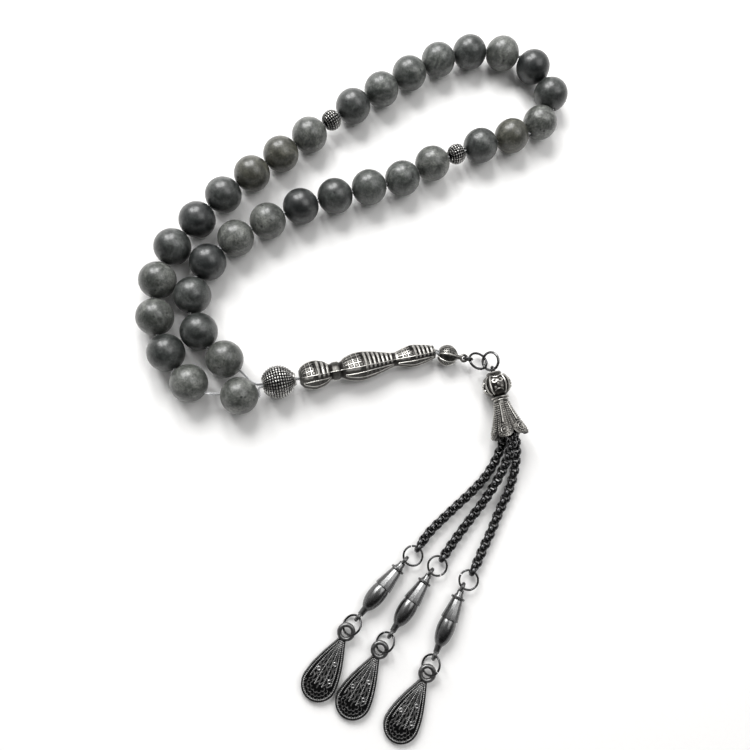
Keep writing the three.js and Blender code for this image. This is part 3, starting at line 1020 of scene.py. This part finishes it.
# Each petal of the cap bulges across and ends in a round tip.
def petalShape(p):
    settings = capSettings
    x = p.x - settings["start"]
    if x < 1.2:
        return p
    a = math.atan2(p.y, p.z)
    across = abs((a / math.radians(360 / settings["petals"])) % 1 - 0.5) * 2
    depth = min(1, (x - 1.2) / 5)
    swell = 1 + depth * (0.05 - 0.13 * across**3)
    cut = 1.7 * across**4 * max(0, (x - 6) / 4.7) ** 2
    return Vector((p.x - cut, p.y * swell, p.z * swell))


capRadius = radiusRule(capSettings["profile"])


# A spot on the cap's outer side: distance from the neck and angle round it.
def onCap(x, around, rise=0.0):
    settings = capSettings
    return petalShape(aroundX(settings["start"] + x, capRadius(x) + rise, around)) * mm


# A ring of spots round a rosette's middle.
def rosetteRing(middle, size, count, rise):
    settings = capSettings
    spots = []
    for k in range(count):
        a = 2 * math.pi * k / (count - 1)
        x = settings["rosetteAt"] + size * math.sin(a)
        aside = math.degrees(size * math.cos(a) / settings["rosetteRadius"])
        spots.append(onCap(x, middle + aside, rise))
    return spots


def makeCap():
    settings = capSettings
    count, wall = settings["petals"], settings["wall"]
    mouth = settings["profile"][-1][0]
    rows = [mouth * i / 12 for i in range(13)]
    skin = [(settings["start"] + x, capRadius(x)) for x in rows]
    inner = [(x, r - wall) for x, r in reversed(skin)]
    inner = [(x, r) for x, r in inner if x > settings["start"] + 0.8]
    outline = skin + inner + [(settings["start"] + 0.8, 0.6), (settings["start"], 0.6), skin[0]]
    cap = turned(outline, 96)
    reshape(cap, petalShape)
    details = []
    pitch = 360 / count
    for i in range(count):
        middle = pitch * (i + 0.5)
        for side in (-1, 1):
            for share in settings["grainShares"]:
                angle = middle + side * pitch * share
                spots = [onCap(x, angle, 0.02) for x in np.arange(1.3, 9.0, 0.58)]
                details.append(grains(spots, settings["grain"] * mm))
        vein = [onCap(x, middle, 0.1) for x in np.arange(1.2, 7.0, 0.5)]
        details.append(wireAlong(vein, 0.17 * mm))
        details.append(grains(rosetteRing(middle, 1.5, 15, 0.1)[:-1], 0.25 * mm))
        details.append(wireAlong(rosetteRing(middle, 0.85, 17, 0.12), 0.14 * mm))
        details.append(grains([onCap(settings["rosetteAt"], middle, 0.15)], 0.42 * mm))
    collar = wireLoop(1.95, 0.22, steps=36, sides=8)
    turn = alongX(settings["start"] + 0.3) @ Matrix.Rotation(math.pi / 2, 4, "Y")
    polishAndPaintedShade(cap, lambda p: 0.31)
    piece = moved(withTrim(cap, *details, moved(collar, turn)), tasselPlace)
    finishPiece(piece, "petalCap", "petal_cap", silver, smooth=40)


makePin()
makeScrollBead()
makeCap()
print("tassel top done")

# Chains of interlocked links

chainSettings = {
    "width": 2.9,
    "wire": 0.4,
    "pitch": 1.3,
    "strip": 1.5,  # the wire is that much wider than it is thick
    "roll": 45,
    "routes": [
        [(36, -26.5, 2.4), (33.9, -30.6, 1.6), (31, -34.2, 1.6), (27.5, -37.5, 1.6),
         (23.6, -40.8, 1.6), (19.4, -44.4, 1.6), (15.7, -47.8, 1.6)],
        [(37.9, -26.6, 6.1), (36.4, -30.8, 4.7), (33.9, -35.5, 3.3), (31.2, -39.7, 1.8),
         (28.2, -43.3, 1.6), (25.4, -46.6, 1.6), (22.4, -50.3, 1.6)],
        [(40.9, -26.8, 2.3), (40.3, -31.5, 1.6), (38.4, -37, 1.6), (35.6, -42.2, 1.6),
         (33, -47.6, 1.6), (30.5, -52.2, 1.6), (28.9, -55.4, 1.6)],
    ],
    "tops": [(36.9, -22.9, 3.95), (38.6, -22.6, 7.05), (40.3, -22.3, 3.95)],
}


def linkModel():
    settings = chainSettings
    long = (settings["pitch"] + settings["wire"]) / 2
    wide = settings["width"] / 2 - settings["wire"]
    link = wireLoop(1.0, settings["wire"], steps=14, sides=6)

    # the round ring is pulled into a rounded box
    def boxed(p):
        a = math.atan2(p.y, p.x)
        c, s = math.cos(a), math.sin(a)
        x = long * math.copysign(abs(c) ** 0.62, c)
        y = wide * math.copysign(abs(s) ** 0.62, s)
        return Vector((x, y, 0)) + Vector((p.x - c, p.y - s, p.z * settings["strip"]))

    reshape(link, boxed)
    return link


def makeChain(i):
    settings = chainSettings
    node = "chain_%d" % (i + 1)
    hold = pivotOf(node)
    last = pivotOf("upper_ring_%d" % (i + 1))
    points = [Vector(p) * mm for p in [settings["tops"][i]] + settings["routes"][i]]
    line = smoothLine([hold] + points + [last], 0.0003)
    count = round(lengthOf(line) / (settings["pitch"] * mm))
    spots = evenly(line, count)
    places = []
    for k, spot in enumerate(spots):
        before, after = spots[max(0, k - 1)], spots[min(count - 1, k + 1)]
        roll = settings["roll"] + 90 * (k % 2)
        places.append(placeAt(spot, (after - before).normalized(), roll=roll))
    # the first link is smaller and not rolled, to sit in the loop of the pin
    places[0] = places[0] @ turnX(-settings["roll"]) @ Matrix.Diagonal((0.62, 0.62, 0.8, 1))
    # the last link is a little longer, so the ring can tip in it
    ending = placeAt(last, (spots[-1] - spots[-2]).normalized(), roll=90)
    places[-1] = ending @ Matrix.Diagonal((1.15, 1, 1, 1))
    piece = copies(linkModel(), places)
    finishPiece(piece, "boxChain%d" % (i + 1), node, plate, smooth=50)


for i in range(3):
    makeChain(i)
print("chains done")

# Rings, bullets and pendants of the three strands

strandSettings = {
    "ring": (2.55, 0.28),
    "eye": (1.0, 0.46),
    "bulletLength": 18.6,
    "bulletSpread": 1.1,  # across the table, the bullets are a little wider than high
    "coneFacets": 12,
    "bulletRoll": 9,
    "egg": {"start": 8.75, "length": 7.0, "radius": 2.12, "widestAt": 0.38},
    "upperGaps": [95, -75, 140],
    "lowerGaps": [-60, 70, -40],
}
bulletOutlines = {
    "neck": [(0.7, 0), (0.7, 0.75), (1.9, 0.85), (2.3, 1.05), (2.62, 1.15), (2.62, 0)],
    "flange": [(2.6, 0.6), (2.6, 1.5), (2.75, 1.7), (3.15, 1.7), (3.3, 1.5), (3.3, 0.6), (2.6, 0.6)],
    "cone": [(3.2, 0), (3.2, 1.2), (3.4, 1.3), (8.5, 2.12), (8.85, 2.12), (8.95, 1.9), (8.96, 0)],
    "stem": [(15.4, 0), (15.4, 0.95), (16.2, 0.8), (17.4, 0.72), (17.9, 0.7), (17.95, 0)],
}


def makeBullet(i):
    settings = strandSettings
    node = "bullet_%d" % (i + 1)
    bottom = pivotOf("lower_ring_%d" % (i + 1))
    axis = spreadOf(node)[0]
    if (bottom - middleOf(node)).dot(axis) < 0:
        axis = -axis
    length = settings["bulletLength"]
    parts = [turned(bulletOutlines["neck"], 20), turned(bulletOutlines["flange"], 28)]
    parts.append(turned(bulletOutlines["cone"], settings["coneFacets"]))
    egg = settings["egg"]
    skin = []
    for k in range(15):
        bulge = math.sqrt(1 - ((k / 14 - egg["widestAt"]) / 0.7) ** 2)
        skin.append((egg["start"] + egg["length"] * k / 14, egg["radius"] * bulge))
    parts.append(turned([(egg["start"], 0)] + skin + [(15.9, 0.5), (15.9, 0)], 32))
    parts.append(turned(bulletOutlines["stem"], 16))
    for x in (0, length):
        parts.append(moved(wireLoop(*settings["eye"], steps=26), alongX(x) @ turnX(90)))
    piece = moved(joinPieces(*parts), turnX(settings["bulletRoll"]))
    moved(piece, Matrix.Diagonal((1, settings["bulletSpread"], 1, 1)))
    moved(piece, placeAt(bottom - axis * length * mm, axis))
    finishPiece(piece, "swivelBullet%d" % (i + 1), node, brightPlate, smooth=22)


pendantSettings = {
    "azimuth": 240,
    "dip": -3.3,
    "width": 9.2,
    "roundAt": 14.1,
    "neckAt": 1.7,
    "back": -0.6,
    "height": 1.35,
    "eye": (1.8, 0.6),
    "ribs": 7,
    "ribSpread": 0.84,
    "bend": 0.8,  # how far before the round middle the sides run into the arc
    "sunk": 0.3,
    "border": 0.52,
    "leafAt": [(6.5, 1), (9.3, 0.7), (12.0, 0)],  # where leaves start, and their stagger
    "scaleRows": [1.6, 2.5, 3.4],
    "seats": [(8.2, 1.3), (10.9, -1.9), (12.6, 2.1)],
}


# Half width of the drop at a distance from the eye, all in millimetres.
def dropHalf(x):
    settings = pendantSettings
    r, middle, bend = settings["width"] / 2, settings["roundAt"], settings["bend"]
    if x > middle - bend:
        return math.sqrt(max(0, r * r - (x - middle) ** 2))
    t = (x - settings["neckAt"]) / (middle - bend - settings["neckAt"])
    return 0.75 + (math.sqrt(r * r - bend * bend) - 0.75) * (1.32 * t - 0.32 * t**3.2)


def dropPoint(x, side, z):
    half = max(0, dropHalf(x) - 0.95)
    return Vector((x, side * half, z)) * mm


def dropRim(count, shrink):
    settings = pendantSettings
    r, middle, bend = settings["width"] / 2 - shrink, settings["roundAt"], settings["bend"]
    xs = np.linspace(settings["neckAt"] + shrink * 1.6, middle - bend, count)
    sideA = [(x, dropHalf(x) - shrink) for x in xs]
    arc = np.linspace(math.acos(-bend / r), -math.acos(-bend / r), count)[1:-1]
    tip = [(middle + r * math.cos(a), r * math.sin(a)) for a in arc]
    sideB = [(x, -y) for x, y in reversed(sideA)]
    return sideA + tip + sideB


# The plain drop, with a sunk floor inside its raised rim.
def dropBlank(base, high):
    settings = pendantSettings
    rim = dropRim(22, 0)
    nothingSelected()
    bpy.ops.mesh.primitive_circle_add(vertices=len(rim), radius=mm, fill_type="NGON")
    drop = bpy.context.object
    for v, (x, y) in zip(drop.data.vertices, rim):
        v.co = Vector((x, y, base)) * mm
    editMode()
    bpy.ops.mesh.select_all(action="SELECT")
    lift = {"value": (0, 0, settings["height"] * mm)}
    bpy.ops.mesh.extrude_region_move(TRANSFORM_OT_translate=lift)
    objectMode()
    if max(drop.data.polygons, key=lambda f: f.center.z).normal.z < 0:
        editMode()
        bpy.ops.mesh.flip_normals()
    editMode()
    insetFaces(0.1, 0.0, each=False)
    insetFaces(0.14, 0.0, each=False)
    insetFaces(0.08, -settings["sunk"], each=False)
    cleanMesh()
    return polishAndPaintedShade(drop, lambda p: 0.36 if p.z > high - 0.1 else 0.1)


def beadedBorder(floor):
    border = [Vector((x, y, floor + 0.12)) * mm for x, y in dropRim(60, pendantSettings["border"])]
    return [grains(evenly(border + [border[0]], 84)[:-1], 0.22 * mm)]


# Ribs that fan out from the neck; every other one is beaded.
def ribFan(floor):
    settings = pendantSettings
    details = []
    for k in range(settings["ribs"]):
        share = -1 + 2 * k / (settings["ribs"] - 1)
        side = share * settings["ribSpread"]
        end = 15.4 - 1.9 * abs(share)
        if k % 2 == 0:
            xs = [x for x in np.arange(3.0, end, 0.46) if dropHalf(x) > 1.1]
            details.append(grains([dropPoint(x, side, floor + 0.14) for x in xs], 0.2 * mm))
        bar = [dropPoint(x, side, floor + 0.06) for x in np.linspace(3.4, end, 9)]
        details.append(wireAlong(bar, (0.1 + 0.07 * (k % 2)) * mm))
    return details


def leavesBetweenRibs(floor):
    settings = pendantSettings
    details = []
    for k in range(settings["ribs"] - 1):
        share = (-1 + 2 * (k + 0.5) / (settings["ribs"] - 1)) * settings["ribSpread"]
        for start, stagger in settings["leafAt"]:
            leaf = []
            for t in np.linspace(0, 1, 6):
                x = start + stagger * (k % 2) + 2.3 * t
                leaf.append(dropPoint(x, share + 0.2 * math.sin(math.pi * t) - 0.1, floor + 0.14))
            details.append(wireAlong(leaf, 0.13 * mm))
    return details


def scaleFan(floor):
    settings = pendantSettings
    details = []
    for row, radius in enumerate(settings["scaleRows"]):
        count = 5 + 3 * row
        for k in range(count):
            a = math.radians(-85 + 170 * (k + 0.5) / count)
            x = settings["roundAt"] + 0.3 + radius * math.cos(a)
            centre = Vector((x, radius * math.sin(a), floor + 0.1))
            arc = []
            for b in np.linspace(-1.7, 1.7, 7):
                offset = Vector((0.52 * math.cos(a + b), 0.52 * math.sin(a + b), 0.04))
                arc.append((centre + offset) * mm)
            details.append(wireAlong(arc, 0.11 * mm))
    return details


def smallSeats(floor):
    details = []
    for x, y in pendantSettings["seats"]:
        seat = wireLoop(0.45, 0.14, steps=12, sides=6)
        details.append(moved(seat, Matrix.Translation(Vector((x, y, floor + 0.12)) * mm)))
    return details


def pendantModel():
    settings = pendantSettings
    high = settings["back"] + settings["height"]
    drop = dropBlank(settings["back"], high)
    floor = high - settings["sunk"]
    details = beadedBorder(floor) + ribFan(floor) + leavesBetweenRibs(floor)
    details += scaleFan(floor) + smallSeats(floor)
    eye = wireLoop(*settings["eye"], steps=40, sides=12)
    neck = turned([(1.5, 0), (1.5, 0.42), (2.2, 0.55), (2.9, 0.5), (2.9, 0)], 12)
    drop = withTrim(drop, *details)
    return joinPieces(drop, polishAndPaintedShade(eye, lambda p: 0.42), polishAndPaintedShade(neck, lambda p: 0.36))


def makeStrand(i, pendant):
    settings = strandSettings
    n = i + 1
    ringPiece("upperRing%d" % n, "upper_ring_%d" % n, settings["ring"], 6, settings["upperGaps"][i])
    makeBullet(i)
    ringPiece("lowerRing%d" % n, "lower_ring_%d" % n, settings["ring"], 6, settings["lowerGaps"][i])
    piece = placed("pendant", pendant.data.copy())
    direction = heading(pendantSettings["azimuth"], pendantSettings["dip"])
    moved(piece, placeAt(pivotOf("pendant_%d" % n), direction))
    finishPiece(piece, "reliefPendant%d" % n, "pendant_%d" % n, pendantSilver, smooth=35)


pendant = pendantModel()
for i in range(3):
    makeStrand(i, pendant)
bpy.data.objects.remove(pendant)
print("strands done")

# Floor and light

stageSettings = {
    "floor": (0.9, 0.893, 0.884),
    "world": 0.8,
    "lamps": [
        {"place": (-0.25, 0.36, 0.37), "size": (0.16, 0.3), "power": 2.0},
        {"place": (-0.04, 0.42, 0.37), "size": (0.16, 0.3), "power": 2.0},
        {"place": (0.3, 0.1, 0.55), "size": (0.4, 0.4), "power": 1.4},
    ],
}


def makeFloor():
    pale = stageSettings["floor"]
    nothingSelected()
    bpy.ops.mesh.primitive_plane_add(size=4, location=(0, 0, cadBox[0].z - 0.0001))
    floor = bpy.context.object
    floor.name = "floor"
    material, tree, shader = newMaterial("paleFloor")
    noise = {"Vector": objectCoords(tree), "Scale": 900, "Detail": 4}
    paper = addNode(tree, "ShaderNodeTexNoise", noise).outputs["Fac"]
    tone = addRamp(tree, paper, [(0.3, tuple(0.985 * c for c in pale)), (0.7, pale)])
    tree.links.new(tone, shader.inputs["Base Color"])
    shader.inputs["Roughness"].default_value = 0.7
    floor.data.materials.append(material)


# The room is bright behind the beads and dark in front of them.
def makeSky():
    world = bpy.data.worlds.new("studio")
    bpy.context.scene.world = world
    world.use_nodes = True
    sky = world.node_tree
    coords = addNode(sky, "ShaderNodeTexCoord").outputs["Generated"]
    parts = addNode(sky, "ShaderNodeSeparateXYZ", {"Vector": coords})
    span = {"Value": parts.outputs["Y"], "From Min": -1, "From Max": 1}
    depth = addNode(sky, "ShaderNodeMapRange", span)
    tone = addRamp(sky, depth.outputs["Result"], [(0.3, 0.04), (0.55, 0.35), (0.85, 1.0)])
    horizon = addRamp(sky, parts.outputs["Z"], [(0.3, 0.85), (0.5, 0.0)])
    tone = mixed(sky, "LIGHTEN", 1.0, tone, horizon)
    background = sky.nodes["Background"]
    sky.links.new(tone, background.inputs["Color"])
    background.inputs["Strength"].default_value = stageSettings["world"]


def makeLamps():
    for lamp in stageSettings["lamps"]:
        light = bpy.data.lights.new("softLight", "AREA")
        light.shape = "RECTANGLE"
        light.size, light.size_y = lamp["size"]
        light.energy = lamp["power"]
        lightObject = placed("softLight", light)
        spot = Vector(lamp["place"])
        lightObject.location = spot
        lightObject.rotation_euler = (-spot).to_track_quat("-Z", "Y").to_euler()


makeFloor()
makeSky()
makeLamps()
print("floor and light done")
bpy.context.scene.view_settings.view_transform = "Standard"
